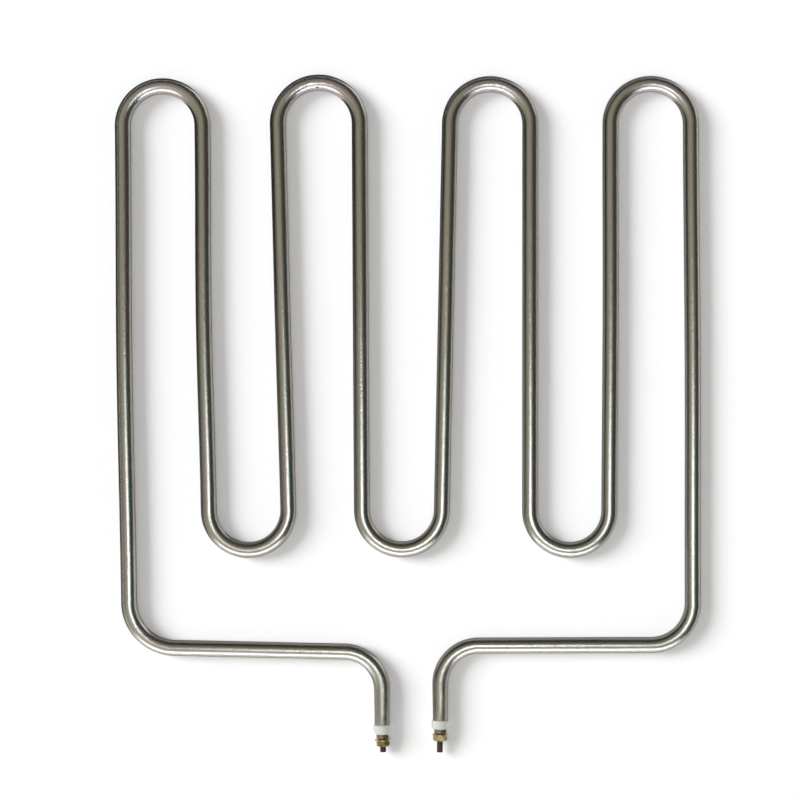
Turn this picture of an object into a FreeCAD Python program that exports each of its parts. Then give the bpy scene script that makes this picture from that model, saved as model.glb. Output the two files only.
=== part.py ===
"""A tubular heating element: one bent sheath and a terminal at each of its two ends.

Frame, in millimetres: the element lies flat. X runs across the loops, +Y from the terminals to the
far loops and +Z up. The origin is under the middle of the element, at the height it rests on.
The sheath's centre line lies in one level plane, at half the height of the ceramic bushes.

Each terminal has a frame of its own: its origin is in the sheath's mouth, +Y runs into the sheath
and -Y out along the pin.
"""
import FreeCAD, Part
import math
import os

import Sketcher
from FreeCAD import Vector

# What drives the sheath, the ceramics and the hardware that both ends share
COMMON_SIZES = {
    # Mean outer diameter of the sheath, and how much higher it is than wide after bending
    "sheath_dia": 8.45,
    "sheath_oval": 0.3,
    "sheath_wall": 0.65,
    # The ceramic bush: its collar, and its stem in the mouth
    "collar_dia": 9.0,
    "collar_edge": 0.5,
    "stem_length": 5.0,
    "stem_play": 0.05,
    # The seal behind the bush, and the pin's hold in the filling behind the seal
    "seal_length": 3.0,
    "pin_dia": 3.1,
    "pin_tip": 0.2,
    "pin_grip": 8.0,
    # The thread rolled on the pin, which starts inside the bush and ends just past the outer nut
    "thread_dia": 3.5,
    "thread_play": 0.1,
    "thread_start": 2.0,
    "thread_proud": 0.2,
    # Brass hardware
    "nut_flats": 6.3,
    "nut_bevel": 0.55,
    "inner_nut_thick": 2.2,
    "outer_nut_thick": 2.8,
    "washer_dia": 8.0,
    "washer_play": 0.2,
    "washer_thick": 0.8,
    "washer_gap": 0.4,
}

# The bends in the order in which the sheath meets them, from the left mouth to the right one: where
# each one's centre is, and the radius of the sheath's centre line in it. The leg beside a neck, which
# ends in the mouth, sets where the neck is across the element.
BENDS = {
    "left_neck": {"along": -143.8, "radius": 20.0},
    "left_corner": {"across": -120.9, "along": -97.9, "radius": 24.0},
    "loop_one": {"across": -127.5, "along": 149.4, "radius": 20.7},
    "dip_one": {"across": -82.8, "along": -50.3, "radius": 20.7},
    "loop_two": {"across": -46.3, "along": 150.7, "radius": 21.3},
    "dip_two": {"across": -3.1, "along": -49.9, "radius": 20.8},
    "loop_three": {"across": 42.8, "along": 150.3, "radius": 20.9},
    "dip_three": {"across": 84.2, "along": -50.4, "radius": 20.6},
    "loop_four": {"across": 126.3, "along": 150.4, "radius": 20.9},
    "right_corner": {"across": 126.4, "along": -98.6, "radius": 21.8},
    "right_neck": {"along": -140.7, "radius": 20.0},
}

# The bends that turn left on the way from the left mouth; the others turn right
LEFT_TURNS = ("left_neck", "dip_one", "dip_two", "dip_three", "right_neck")

# Each terminal: where its mouth is, how far its leg leans, how long its collar is, how far its pin
# reaches out of the mouth, and how its nuts happen to be turned
TERMINALS = {
    "left": {
        "mouth_across": -13.4,
        "mouth_along": -161.9,
        "lean": 2.4,
        "collar_length": 4.7,
        "pin_reach": 14.1,
        "inner_nut_turn": 30.0,
        "outer_nut_turn": 19.0,
    },
    "right": {
        "mouth_across": 16.9,
        "mouth_along": -159.5,
        "lean": -0.9,
        "collar_length": 4.4,
        "pin_reach": 16.6,
        "inner_nut_turn": 28.0,
        "outer_nut_turn": -1.0,
    },
}

# A hexagon's corner circle over its width across flats, and the slope of a nut's bevel
CORNERS_OVER_FLATS = 2 / math.sqrt(3)
BEVEL_SLOPE = math.tan(math.radians(30))


class Size:
    """A length or angle that holds its value now and the expression that keeps it up to date."""

    def __init__(self, value, text):
        self.value = value
        self.text = text

    def __add__(self, other):
        return Size(self.value + other.value, f"({self.text} + {other.text})")

    def __sub__(self, other):
        return Size(self.value - other.value, f"({self.text} - {other.text})")

    def __neg__(self):
        return Size(-self.value, f"(0 - {self.text})")

    def __mul__(self, factor):
        return Size(self.value * factor, f"{self.text} * {factor!r}")

    def __truediv__(self, divisor):
        return Size(self.value / divisor, f"{self.text} / {divisor!r}")


ZERO = Size(0.0, "0")
RIGHT_ANGLE = Size(90.0, "90")


def fill_sheet(doc):
    """Put every driving dimension in a sheet, and return them all as sizes bound to its cells."""
    numbers = dict(COMMON_SIZES)
    for group in (BENDS, TERMINALS):
        for name, values in group.items():
            for key, value in values.items():
                numbers[f"{name}_{key}"] = value
    sheet = doc.addObject("Spreadsheet::Sheet", "Sizes")
    for row, (alias, value) in enumerate(numbers.items(), start=1):
        sheet.set(f"A{row}", alias.replace("_", " "))
        sheet.set(f"B{row}", str(value))
        sheet.setAlias(f"B{row}", alias)
    doc.recompute()
    return {alias: Size(value, f"Sizes.{alias}") for alias, value in numbers.items()}


def new_body(doc, label):
    """An empty body for one piece, with the label that names its file."""
    body = doc.addObject("PartDesign::Body", label)
    body.Label = label
    return body


def sketch_on(body, role, name):
    """A sketch on one of the body's own origin planes."""
    plane = next(p for p in body.Origin.OriginFeatures if p.Role == role)
    sketch = body.newObject("Sketcher::SketchObject", name)
    sketch.AttachmentSupport = [(plane, "")]
    sketch.MapMode = "FlatFace"
    return sketch


def bind(sketch, kind, places, size):
    """Add one dimension to a sketch and tie it to the sheet."""
    value = math.radians(size.value) if kind == "Angle" else size.value
    number = sketch.addConstraint(Sketcher.Constraint(kind, *places, value))
    sketch.setExpression(f"Constraints[{number}]", size.text)


def frame_text(across, along, up, axis, angle):
    """The expression of a placement: moved to a point, and turned about one axis."""
    base = f"vector({across.text}; {along.text}; {up.text})"
    return f"placement({base}; rotation(vector({axis}); {angle.text}))"


def mouth_frame(sizes, side):
    """The expression of a terminal's frame in the element's."""
    return frame_text(
        sizes[f"{side}_mouth_across"],
        sizes[f"{side}_mouth_along"],
        sizes["collar_dia"] / 2,
        "0; 0; 1",
        sizes[f"{side}_lean"],
    )


def outline(sketch, corners):
    """Draw a closed outline of straight edges, each corner tied to the sheet."""
    points = [Vector(x.value, y.value, 0) for x, y in corners]
    count = len(points)
    for i in range(count):
        sketch.addGeometry(Part.LineSegment(points[i], points[(i + 1) % count]))
    for i, (x, y) in enumerate(corners):
        sketch.addConstraint(Sketcher.Constraint("Coincident", i, 2, (i + 1) % count, 1))
        bind(sketch, "DistanceX", (-1, 1, i, 1), x)
        bind(sketch, "DistanceY", (-1, 1, i, 1), y)


def turn(body, name, corners, kind="PartDesign::Revolution"):
    """Turn a half section once round the terminal's axis, to add material or to cut it away."""
    sketch = sketch_on(body, "XY_Plane", f"{name}_section")
    outline(sketch, corners)
    feature = body.newObject(kind, name)
    feature.Profile = sketch
    feature.ReferenceAxis = (sketch, ["V_Axis"])
    feature.Angle = 360.0
    return feature


def touching_line(before, after):
    """The straight run from one circle to the next, each a centre and a radius signed by its turn.

    A left turn has its centre on the left of the run and a radius above zero, a right turn on the
    right of it and a radius below zero. A mouth is a circle of no radius.
    """
    (centre_1, radius_1), (centre_2, radius_2) = before, after
    gap = centre_2 - centre_1
    heading = math.atan2(gap.y, gap.x) - math.asin((radius_2 - radius_1) / gap.Length)
    rightwards = Vector(math.sin(heading), -math.cos(heading), 0)
    return centre_1 + rightwards * radius_1, centre_2 + rightwards * radius_2


def bend_arc(centre, signed_radius, first, last):
    """The arc of one bend. Arcs run anticlockwise, so a right turn is drawn from its far end."""
    if signed_radius < 0:
        first, last = last, first
    start = math.atan2(first.y - centre.y, first.x - centre.x)
    end = math.atan2(last.y - centre.y, last.x - centre.x)
    if end < start:
        end += 2 * math.pi
    circle = Part.Circle(centre, Vector(0, 0, 1), abs(signed_radius))
    return Part.ArcOfCircle(circle, start, end)


def route_circles():
    """The circles that the route passes in turn: the left mouth, every bend, the right mouth."""
    mouths = {
        side: Vector(values["mouth_across"], values["mouth_along"], 0) for side, values in TERMINALS.items()
    }
    circles = [(mouths["left"], 0.0)]
    for name, bend in BENDS.items():
        radius = bend["radius"]
        if name == "left_neck":
            across = mouths["left"].x - radius
        elif name == "right_neck":
            across = mouths["right"].x + radius
        else:
            across = bend["across"]
        circles.append((Vector(across, bend["along"], 0), radius if name in LEFT_TURNS else -radius))
    circles.append((mouths["right"], 0.0))
    return circles


def make_route(body, sizes):
    """The sheath's centre line: straight runs and bends, each tangent to the next.

    Run number i is edge 2i of the sketch, and the bend after it is edge 2i + 1.
    """
    sketch = sketch_on(body, "XY_Plane", "route")
    sketch.setExpression(".AttachmentOffset.Base.z", (sizes["collar_dia"] / 2).text)
    circles = route_circles()
    runs = [touching_line(before, after) for before, after in zip(circles, circles[1:])]
    for i, (first, last) in enumerate(runs):
        sketch.addGeometry(Part.LineSegment(first, last))
        if i < len(BENDS):
            centre, signed_radius = circles[i + 1]
            sketch.addGeometry(bend_arc(centre, signed_radius, last, runs[i + 1][0]))

    for i, name in enumerate(BENDS):
        run, bend, next_run = 2 * i, 2 * i + 1, 2 * i + 2
        entry, leave = (1, 2) if name in LEFT_TURNS else (2, 1)
        sketch.addConstraint(Sketcher.Constraint("Tangent", run, 2, bend, entry))
        sketch.addConstraint(Sketcher.Constraint("Tangent", bend, leave, next_run, 1))
        bind(sketch, "Radius", (bend,), sizes[f"{name}_radius"])
        bind(sketch, "DistanceY", (-1, 1, bend, 3), sizes[f"{name}_along"])
        if "across" in BENDS[name]:
            bind(sketch, "DistanceX", (-1, 1, bend, 3), sizes[f"{name}_across"])
    last_run = 2 * len(BENDS)
    for side, run, point in (("left", 0, 1), ("right", last_run, 2)):
        bind(sketch, "DistanceX", (-1, 1, run, point), sizes[f"{side}_mouth_across"])
        bind(sketch, "DistanceY", (-1, 1, run, point), sizes[f"{side}_mouth_along"])
    bind(sketch, "Angle", (0,), sizes["left_lean"] + RIGHT_ANGLE)
    bind(sketch, "Angle", (last_run,), sizes["right_lean"] - RIGHT_ANGLE)
    return sketch


def make_section(body, sizes):
    """The sheath's outer section across its left mouth, a slight oval that stands on its end."""
    sketch = sketch_on(body, "XZ_Plane", "section")
    offset = frame_text(
        sizes["left_mouth_across"],
        sizes["collar_dia"] / 2,
        -sizes["left_mouth_along"],
        "0; 1; 0",
        sizes["left_lean"],
    )
    sketch.setExpression("AttachmentOffset", offset)
    high = sizes["sheath_dia"] + sizes["sheath_oval"] / 2
    across = sizes["sheath_dia"] - sizes["sheath_oval"] / 2
    top = Vector(0, high.value / 2, 0)
    flank = Vector(-across.value / 2, 0, 0)
    oval = sketch.addGeometry(Part.Ellipse(top, flank, Vector(0, 0, 0)))
    sketch.exposeInternalGeometry(oval)
    long_axis, short_axis = oval + 1, oval + 2
    sketch.addConstraint(Sketcher.Constraint("Coincident", oval, 3, -1, 1))
    sketch.addConstraint(Sketcher.Constraint("Vertical", long_axis))
    bind(sketch, "Distance", (long_axis,), high)
    bind(sketch, "Distance", (short_axis,), across)
    return sketch


def make_sheath(doc, sizes):
    """The swaged sheath: a steel tube on its packed filling, bent as one, with a bore at each mouth."""
    body = new_body(doc, "sheath")
    route = make_route(body, sizes)
    section = make_section(body, sizes)
    doc.recompute()
    pipe = body.newObject("PartDesign::AdditivePipe", "bent_tube")
    pipe.Profile = section
    pipe.Spine = (route, [f"Edge{i + 1}" for i in range(len(route.Shape.Edges))])
    doc.recompute()
    bore = bore_radius(sizes)
    pin = sizes["pin_dia"] / 2
    floor = sizes["stem_length"] + sizes["seal_length"]
    end = floor + sizes["pin_grip"]
    half_section = [(ZERO, ZERO), (bore, ZERO), (bore, floor), (pin, floor), (pin, end), (ZERO, end)]
    for side in TERMINALS:
        groove = turn(body, f"{side}_mouth", half_section, "PartDesign::Groove")
        groove.Profile[0].setExpression("AttachmentOffset", mouth_frame(sizes, side))
        doc.recompute()
    return body


def bore_radius(sizes):
    """Half the width of the sheath's bore, which its wall leaves of its narrower width."""
    return (sizes["sheath_dia"] - sizes["sheath_oval"] / 2) / 2 - sizes["sheath_wall"]


def placed_body(doc, sizes, side, piece):
    """A body for one piece of a terminal, in that terminal's frame."""
    body = new_body(doc, f"{side}_{piece}")
    body.setExpression("Placement", mouth_frame(sizes, side))
    return body


def make_pin(doc, sizes, side, stack_end):
    """The terminal pin: a round rod in the filling, with a thread rolled on it under the nuts."""
    body = placed_body(doc, sizes, side, "terminal_pin")
    rod = sizes["pin_dia"] / 2
    thread = sizes["thread_dia"] / 2
    tip = -sizes[f"{side}_pin_reach"]
    thread_end = -(stack_end + sizes["thread_proud"])
    end = sizes["stem_length"] + sizes["seal_length"] + sizes["pin_grip"]
    corners = [
        (ZERO, tip),
        (rod - sizes["pin_tip"], tip),
        (rod, tip + sizes["pin_tip"]),
        (rod, thread_end),
        (thread, thread_end),
        (thread, sizes["thread_start"]),
        (rod, sizes["thread_start"]),
        (rod, end),
        (ZERO, end),
    ]
    turn(body, "pin", corners)
    return body


def make_seal(doc, sizes, side):
    """The seal that closes the filling behind the bush."""
    body = placed_body(doc, sizes, side, "end_seal")
    rod = sizes["pin_dia"] / 2
    bore = bore_radius(sizes)
    front = sizes["stem_length"]
    back = front + sizes["seal_length"]
    turn(body, "seal", [(rod, front), (bore, front), (bore, back), (rod, back)])
    return body


def make_bush(doc, sizes, side):
    """The ceramic bush: a stem in the mouth, and a collar that butts on the sheath's end."""
    body = placed_body(doc, sizes, side, "ceramic_bush")
    hole = sizes["thread_dia"] / 2 + sizes["thread_play"]
    collar = sizes["collar_dia"] / 2
    stem = bore_radius(sizes) - sizes["stem_play"]
    face = -sizes[f"{side}_collar_length"]
    corners = [
        (hole, face),
        (collar - sizes["collar_edge"], face),
        (collar, face + sizes["collar_edge"]),
        (collar, ZERO),
        (stem, ZERO),
        (stem, sizes["stem_length"]),
        (hole, sizes["stem_length"]),
    ]
    turn(body, "bush", corners)
    return body


def draw_hexagon(sketch, sizes):
    """A regular hexagon about the sketch's origin with a round hole in it."""
    across_corners = sizes["nut_flats"] * CORNERS_OVER_FLATS
    axis = Vector(0, 0, 1)
    corner_radius = across_corners.value / 2
    points = [
        Vector(math.cos(math.radians(60 * i)), math.sin(math.radians(60 * i)), 0) * corner_radius
        for i in range(6)
    ]
    for i in range(6):
        sketch.addGeometry(Part.LineSegment(points[i], points[(i + 1) % 6]))
    ring = sketch.addGeometry(Part.Circle(Vector(), axis, corner_radius), True)
    hole = sketch.addGeometry(Part.Circle(Vector(), axis, sizes["thread_dia"].value / 2))
    for i in range(6):
        sketch.addConstraint(Sketcher.Constraint("Coincident", i, 2, (i + 1) % 6, 1))
        sketch.addConstraint(Sketcher.Constraint("PointOnObject", i, 1, ring))
    for i in range(5):
        sketch.addConstraint(Sketcher.Constraint("Equal", i, i + 1))
    sketch.addConstraint(Sketcher.Constraint("Coincident", ring, 3, -1, 1))
    sketch.addConstraint(Sketcher.Constraint("Coincident", hole, 3, -1, 1))
    sketch.addConstraint(Sketcher.Constraint("PointOnObject", 0, 1, -1))
    bind(sketch, "Diameter", (ring,), across_corners)
    bind(sketch, "Diameter", (hole,), sizes["thread_dia"])


def make_nut(doc, sizes, side, name, start):
    """A hexagon nut, screwed on to start, with its corners turned down on its outward face."""
    body = placed_body(doc, sizes, side, name)
    thick = sizes[f"{name}_thick"]
    blank = sketch_on(body, "XZ_Plane", "blank")
    blank_frame = frame_text(ZERO, ZERO, start, "0; 0; 1", sizes[f"{side}_{name}_turn"])
    blank.setExpression("AttachmentOffset", blank_frame)
    draw_hexagon(blank, sizes)
    pad = body.newObject("PartDesign::Pad", "hexagon")
    pad.Profile = blank
    pad.setExpression("Length", thick.text)
    doc.recompute()

    # The cutter's rim stands clear of the nut's corners by the depth of the bevel
    corner = sizes["nut_flats"] * (CORNERS_OVER_FLATS / 2)
    rim = corner + sizes["nut_bevel"]
    face_edge = corner - sizes["nut_bevel"]
    face = -(start + thick)
    drop = sizes["nut_bevel"] * (2 * BEVEL_SLOPE)
    turn(body, "bevel", [(face_edge, face), (rim, face), (rim, face + drop)], "PartDesign::Groove")
    return body


def make_washer(doc, sizes, side, start):
    """The flat washer under the outer nut."""
    body = placed_body(doc, sizes, side, "washer")
    hole = sizes["thread_dia"] / 2 + sizes["washer_play"]
    rim = sizes["washer_dia"] / 2
    near = -start
    far = near - sizes["washer_thick"]
    turn(body, "ring", [(hole, far), (rim, far), (rim, near), (hole, near)])
    return body


def make_terminal(doc, sizes, side):
    """Everything at one end of the sheath, from the pin and its seal out to the last nut."""
    inner_nut_at = sizes[f"{side}_collar_length"]
    washer_at = inner_nut_at + sizes["inner_nut_thick"] + sizes["washer_gap"]
    outer_nut_at = washer_at + sizes["washer_thick"]
    stack_end = outer_nut_at + sizes["outer_nut_thick"]
    return [
        make_pin(doc, sizes, side, stack_end),
        make_seal(doc, sizes, side),
        make_bush(doc, sizes, side),
        make_nut(doc, sizes, side, "inner_nut", inner_nut_at),
        make_washer(doc, sizes, side, washer_at),
        make_nut(doc, sizes, side, "outer_nut", outer_nut_at),
    ]


def check(doc, bodies):
    """Stop if any object failed, or if any piece isn't one valid solid."""
    doc.recompute()
    for item in doc.Objects:
        if "Invalid" in item.State or "Error" in item.State:
            raise RuntimeError(f"{item.Label} failed: {item.State}")
    for body in bodies:
        shape = body.Shape
        if shape.isNull() or not shape.isValid() or len(shape.Solids) != 1:
            raise RuntimeError(f"{body.Label} isn't one valid solid")


def main():
    """Build the element and write each piece to its own file."""
    doc = FreeCAD.newDocument("heating_element")
    sizes = fill_sheet(doc)
    bodies = [make_sheath(doc, sizes)]
    for side in TERMINALS:
        bodies += make_terminal(doc, sizes, side)
    check(doc, bodies)
    os.makedirs("parts", exist_ok=True)
    for body in bodies:
        body.Shape.exportStep(f"parts/{body.Label}.step")
        print(f"{body.Label}: {body.Shape.Volume:.1f} mm3, {body.Shape.BoundBox}")
    route = doc.getObject("route").Shape
    print(f"Centre line: {route.Length:.1f} mm in {len(route.Edges)} runs and bends")


main()
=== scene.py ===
# %% [markdown]
# # A tubular heating element, seen from above
#
# The object is one long steel tube, packed with insulating powder round a resistance wire and bent
# into four loops. At each end a ceramic bush closes it, and a pin with two brass nuts takes the
# wire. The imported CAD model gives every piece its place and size, and this script dresses it.
#
# Everything is in metres, in the CAD model's own frame: +X across the loops, +Y from the terminals
# to the far loops, +Z up, with the element lying on the floor at z = 0.

import math

import bmesh
import bpy
import numpy as np
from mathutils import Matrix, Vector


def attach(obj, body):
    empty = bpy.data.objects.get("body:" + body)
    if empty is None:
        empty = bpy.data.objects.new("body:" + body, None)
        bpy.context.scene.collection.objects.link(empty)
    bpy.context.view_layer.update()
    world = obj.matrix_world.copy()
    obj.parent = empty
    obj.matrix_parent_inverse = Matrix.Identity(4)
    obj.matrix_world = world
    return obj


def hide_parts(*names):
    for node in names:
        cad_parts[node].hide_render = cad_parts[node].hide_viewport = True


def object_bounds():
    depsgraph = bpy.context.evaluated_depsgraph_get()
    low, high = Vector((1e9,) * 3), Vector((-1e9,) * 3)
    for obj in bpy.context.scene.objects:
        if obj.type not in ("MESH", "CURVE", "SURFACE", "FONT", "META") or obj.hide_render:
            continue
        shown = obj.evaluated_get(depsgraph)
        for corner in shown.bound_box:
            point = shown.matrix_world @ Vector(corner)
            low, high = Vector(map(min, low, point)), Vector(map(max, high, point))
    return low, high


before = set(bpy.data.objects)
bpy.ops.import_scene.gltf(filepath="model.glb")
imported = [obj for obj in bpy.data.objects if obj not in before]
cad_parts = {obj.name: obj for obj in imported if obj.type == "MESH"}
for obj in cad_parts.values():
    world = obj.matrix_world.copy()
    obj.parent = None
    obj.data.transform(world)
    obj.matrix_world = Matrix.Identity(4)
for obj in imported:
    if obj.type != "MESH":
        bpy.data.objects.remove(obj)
cad_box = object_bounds()
print("CAD nodes:", sorted(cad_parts))
print("CAD box in mm:", [round(v * 1000, 1) for corner in cad_box for v in corner])

# %% [markdown]
# ## The camera
#
# The photograph looks straight down. Its pixels are 0.52 mm wide at the height of the tube's centre
# line. That could be matched from any height with the right lens, but the far ends of the tube show a
# little of their flanks, which puts the lens about a metre up. The focal length follows from those
# two numbers.

# %% Make the camera
MM = 0.001
PHOTO_PIXELS = 800
PIXEL = 0.52 * MM
AXIS_HIGH = 4.5 * MM
CAMERA_ABOVE = 1000 * MM
PHOTO_CENTRE = (-4.05 * MM, 6.96 * MM)

camera = bpy.data.objects.new("camera", bpy.data.cameras.new("camera"))
bpy.context.scene.collection.objects.link(camera)
camera.location = (*PHOTO_CENTRE, AXIS_HIGH + CAMERA_ABOVE)
camera.data.sensor_width = 36.0
camera.data.lens = 36.0 * CAMERA_ABOVE / (PHOTO_PIXELS * PIXEL)
bpy.context.scene.camera = camera
print(f"Focal length: {camera.data.lens:.1f} mm")

# %% [markdown]
# ## Surfaces on a grid
#
# Tubes and turned pieces could be made with curves and bevels, or with Spin and Screw. Here each new
# piece is a grid of points instead: rows run along the piece and columns run round it. The columns
# join up, and a row whose points all meet closes the end of the piece. One helper turns such a grid
# into a mesh, so each piece only has to say where its points are. Numpy works the points out as
# whole arrays, which is short to write and quick to run, and wear is one more term in the formula.

# %% Turn a grid of points into a mesh
MERGE_WITHIN = 1e-7


def ring_grid_faces(rows, columns):
    """Corner numbers of the faces between neighbouring rows of a grid whose columns join up.

    Face (i, j) has the corners (i, j), (i, j + 1), (i + 1, j + 1) and (i + 1, j), with j + 1 taken
    round to 0 after the last column.
    """
    i, j = np.meshgrid(np.arange(rows - 1), np.arange(columns), indexing="ij")
    k = (j + 1) % columns
    here, there = i * columns, (i + 1) * columns
    return np.stack([here + j, here + k, there + k, there + j], -1).reshape(-1, 4)


def ring_grid_uvs(rows, columns):
    """UVs for the corners of the same faces: u runs once round the piece and v along it, both from
    0 to 1. The last column's faces end at u = 1, so the pattern doesn't run back over them."""
    i, j = np.meshgrid(np.arange(rows - 1), np.arange(columns), indexing="ij")
    u = np.stack([j, j + 1, j + 1, j], -1) / columns
    v = np.stack([i, i, i + 1, i + 1], -1) / (rows - 1)
    return np.stack([u, v], -1).reshape(-1, 2)


def close_and_face_out(mesh):
    """Merge each end row of a grid that is one point, and turn the faces to point outwards."""
    shape = bmesh.new()
    shape.from_mesh(mesh)
    bmesh.ops.remove_doubles(shape, verts=shape.verts, dist=MERGE_WITHIN)
    bmesh.ops.recalc_face_normals(shape, faces=shape.faces)
    shape.to_mesh(mesh)
    shape.free()


def make_piece(name, points, straight, nodes):
    """Make an object from a grid of points (rows, columns, 3) and hide the CAD nodes it stands for.

    straight has the same shape as points. It holds where each point would be on a straight piece,
    lengthways first, so that a grain can follow a bend. The first and last rows may be single
    points repeated, and are then merged into one.
    """
    rows, columns, _ = points.shape
    mesh = bpy.data.meshes.new(name)
    mesh.from_pydata(points.reshape(-1, 3).tolist(), [], ring_grid_faces(rows, columns).tolist())
    straight_layer = mesh.attributes.new("straight", "FLOAT_VECTOR", "POINT")
    straight_layer.data.foreach_set("vector", straight.astype(np.float32).ravel())
    round_layer = mesh.uv_layers.new(name="round")
    round_layer.data.foreach_set("uv", ring_grid_uvs(rows, columns).astype(np.float32).ravel())
    close_and_face_out(mesh)
    mesh.polygons.foreach_set("use_smooth", np.ones(len(mesh.polygons), bool))
    piece = bpy.data.objects.new(name, mesh)
    bpy.context.scene.collection.objects.link(piece)
    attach(piece, "root")
    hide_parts(*nodes)
    print(f"{name}: {len(mesh.polygons)} faces")
    return piece


print("Faces of a grid of 3 rows and 4 columns:", len(ring_grid_faces(3, 4)))

# %% [markdown]
# ## The route of the sheath
#
# The tube is straight between its bends and round in them, as it leaves the bending machine. A spline
# through a few points would look close, but its bends wouldn't be round. So the centre line is a
# chain of circles joined by the straight lines that touch them. A circle's radius is above zero where
# the tube turns left and below zero where it turns right, and each mouth of the tube is a circle of
# no radius. These are the CAD model's own sizes, in millimetres.
#
# Five of the runs bow sideways a little, by less than a millimetre, and a term that is greatest in
# the middle of the run adds that.

# %% Write down the bends
BENDS = [
    # across, along, radius
    (-13.4, -161.9, 0.0),
    (-33.4, -143.8, 20.0),
    (-120.9, -97.9, -24.0),
    (-127.5, 149.4, -20.7),
    (-82.8, -50.3, 20.7),
    (-46.3, 150.7, -21.3),
    (-3.1, -49.9, 20.8),
    (42.8, 150.3, -20.9),
    (84.2, -50.4, 20.6),
    (126.3, 150.4, -20.9),
    (126.4, -98.6, -21.8),
    (36.9, -140.7, 20.0),
    (16.9, -159.5, 0.0),
]
BOWS = {
    # run after that bend: how far its middle bows out to the right of its heading, in millimetres
    2: -0.8,
    3: 0.95,
    4: -0.2,
    8: 0.35,
    9: -0.45,
}
circles = np.array(BENDS) * MM
print("Circles in the route:", len(circles))

# %% Find the straight runs between the bends
def touching_lines(circles):
    """The line from each circle to the next that touches both, as its two end points.

    Its heading is the heading from centre to centre, less the angle whose sine is the difference of
    the two radii over the distance. Each end lies one radius to the right of its circle's centre.
    """
    centre, radius = circles[:, :2], circles[:, 2]
    gap = np.diff(centre, axis=0)
    distance = np.hypot(gap[:, 0], gap[:, 1])
    heading = np.arctan2(gap[:, 1], gap[:, 0]) - np.arcsin(np.diff(radius) / distance)
    right = np.stack([np.sin(heading), -np.cos(heading)], -1)
    return centre[:-1] + right * radius[:-1, None], centre[1:] + right * radius[1:, None], heading


run_start, run_end, run_heading = touching_lines(circles)
print("Longest run:", round(1000 * np.hypot(*(run_end - run_start).T).max(), 1), "mm")

# %% Sample the centre line
RUN_STEP = 5.0 * MM
BEND_STEP = math.radians(2.25)
FINE_STEP = math.radians(1.0)
NICKED_BENDS = (5, 7)


def sample_run(i):
    """Points along one run, at equal steps between its two ends.

    It bows out to the right by bow * sin^2 of half a turn times the share of its length.
    """
    length = np.hypot(*(run_end[i] - run_start[i]))
    share = np.linspace(0, 1, max(2, int(length / RUN_STEP)) + 1)[:, None]
    bow = BOWS.get(i, 0.0) * MM * np.sin(math.pi * share) ** 2
    right = np.array([math.sin(run_heading[i]), -math.cos(run_heading[i])])
    return run_start[i] + share * (run_end[i] - run_start[i]) + bow * right


def sample_bend(i):
    """Points round one bend, and the heading at each, without the ends that the runs share with it.

    It turns from the heading of the run before it to that of the run after it, about its own
    centre. Its points lie one radius to the right of the centre: centre + radius * (sin heading,
    -cos heading).
    """
    centre, radius = circles[i, :2], circles[i, 2]
    turned = (run_heading[i] - run_heading[i - 1] + math.pi) % (2 * math.pi) - math.pi
    if radius * turned < 0:
        turned += math.copysign(2 * math.pi, radius)
    steps = int(abs(turned) / (FINE_STEP if i in NICKED_BENDS else BEND_STEP))
    heading = run_heading[i - 1] + turned * np.linspace(0, 1, steps + 1)[1:-1]
    return centre + radius * np.stack([np.sin(heading), -np.cos(heading)], -1), heading


def sample_route():
    """Points along the whole route and the heading at each: each run, then the bend after it."""
    points, headings = [], []
    for i, heading in enumerate(run_heading):
        run = sample_run(i)
        points.append(run)
        headings.append(np.full(len(run), heading))
        if i + 1 < len(run_heading):
            bend, turning = sample_bend(i + 1)
            points.append(bend)
            headings.append(turning)
    return np.concatenate(points), np.concatenate(headings)


route, route_heading = sample_route()
route_length = np.concatenate([[0], np.cumsum(np.hypot(*np.diff(route, axis=0).T))])
print(f"Centre line: {route_length[-1] * 1000:.1f} mm in {len(route)} points")

# %% [markdown]
# ## The sheath
#
# The tube's skin is its section carried along the route. The section is a slight oval that stands
# on its end, as tube is after bending, which a bevelled curve would need a profile object for. Rows
# that step back into each mouth give the sheath its wall, with a small radius on the rim, and end on
# a point deep in the bore, so the skin is closed. The seam between the last column and the first
# lies underneath. Near each mouth the skin narrows a little, as tube does when its end is pressed on
# to a bush.
#
# Two of the far bends carry a small nick on their inner side. Each is a dimple pressed into the
# skin, and a number on each point says how deep in a dimple it lies, for the shade painted dark in it.

# %% Sweep the sheath
SHEATH_WIDE = 8.3 * MM
SHEATH_HIGH = 8.6 * MM
SHEATH_COLUMNS = 72
BORE = 7.0 * MM
BORE_DEPTH = 8.0 * MM
WALL = (SHEATH_WIDE - BORE) / 2
RIM = 0.12 * MM
RIM_ROWS = 4
FLOOR_RING = 1.0 * MM
NECK_LENGTH = 24 * MM
NECK_TAPER = 0.27 * MM


def mouth_rows():
    """How far inside the mouth each row of the mouth lies, and how far in from the skin it is.

    The rows run from the bore's floor out to the skin: the floor's centre, a ring on the floor, the
    bore's wall, and a quarter turn of the rim's radius on either side of the flat end.
    """
    turn = np.linspace(0, math.pi / 2, RIM_ROWS)
    floor = [(BORE_DEPTH, SHEATH_WIDE / 2), (BORE_DEPTH, WALL + FLOOR_RING), (BORE_DEPTH, WALL)]
    inner = [(RIM * (1 - math.sin(a)), WALL - RIM * (1 - math.cos(a))) for a in turn]
    outer = [(RIM * (1 - math.cos(a)), RIM * (1 - math.sin(a))) for a in turn]
    return np.array([*floor, *inner, *outer])


def neck_taper(along, inset):
    """How much each row narrows: NECK_TAPER * cos^2 of a quarter turn times the share of
    NECK_LENGTH from the nearer mouth. It fades out through the wall, so the bore keeps its size."""
    share = np.clip(np.minimum(along, route_length[-1] - along) / NECK_LENGTH, 0, 1)
    in_skin = np.clip(1 - inset / WALL, 0, 1)
    return NECK_TAPER * np.cos(share * math.pi / 2) ** 2 * in_skin


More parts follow.
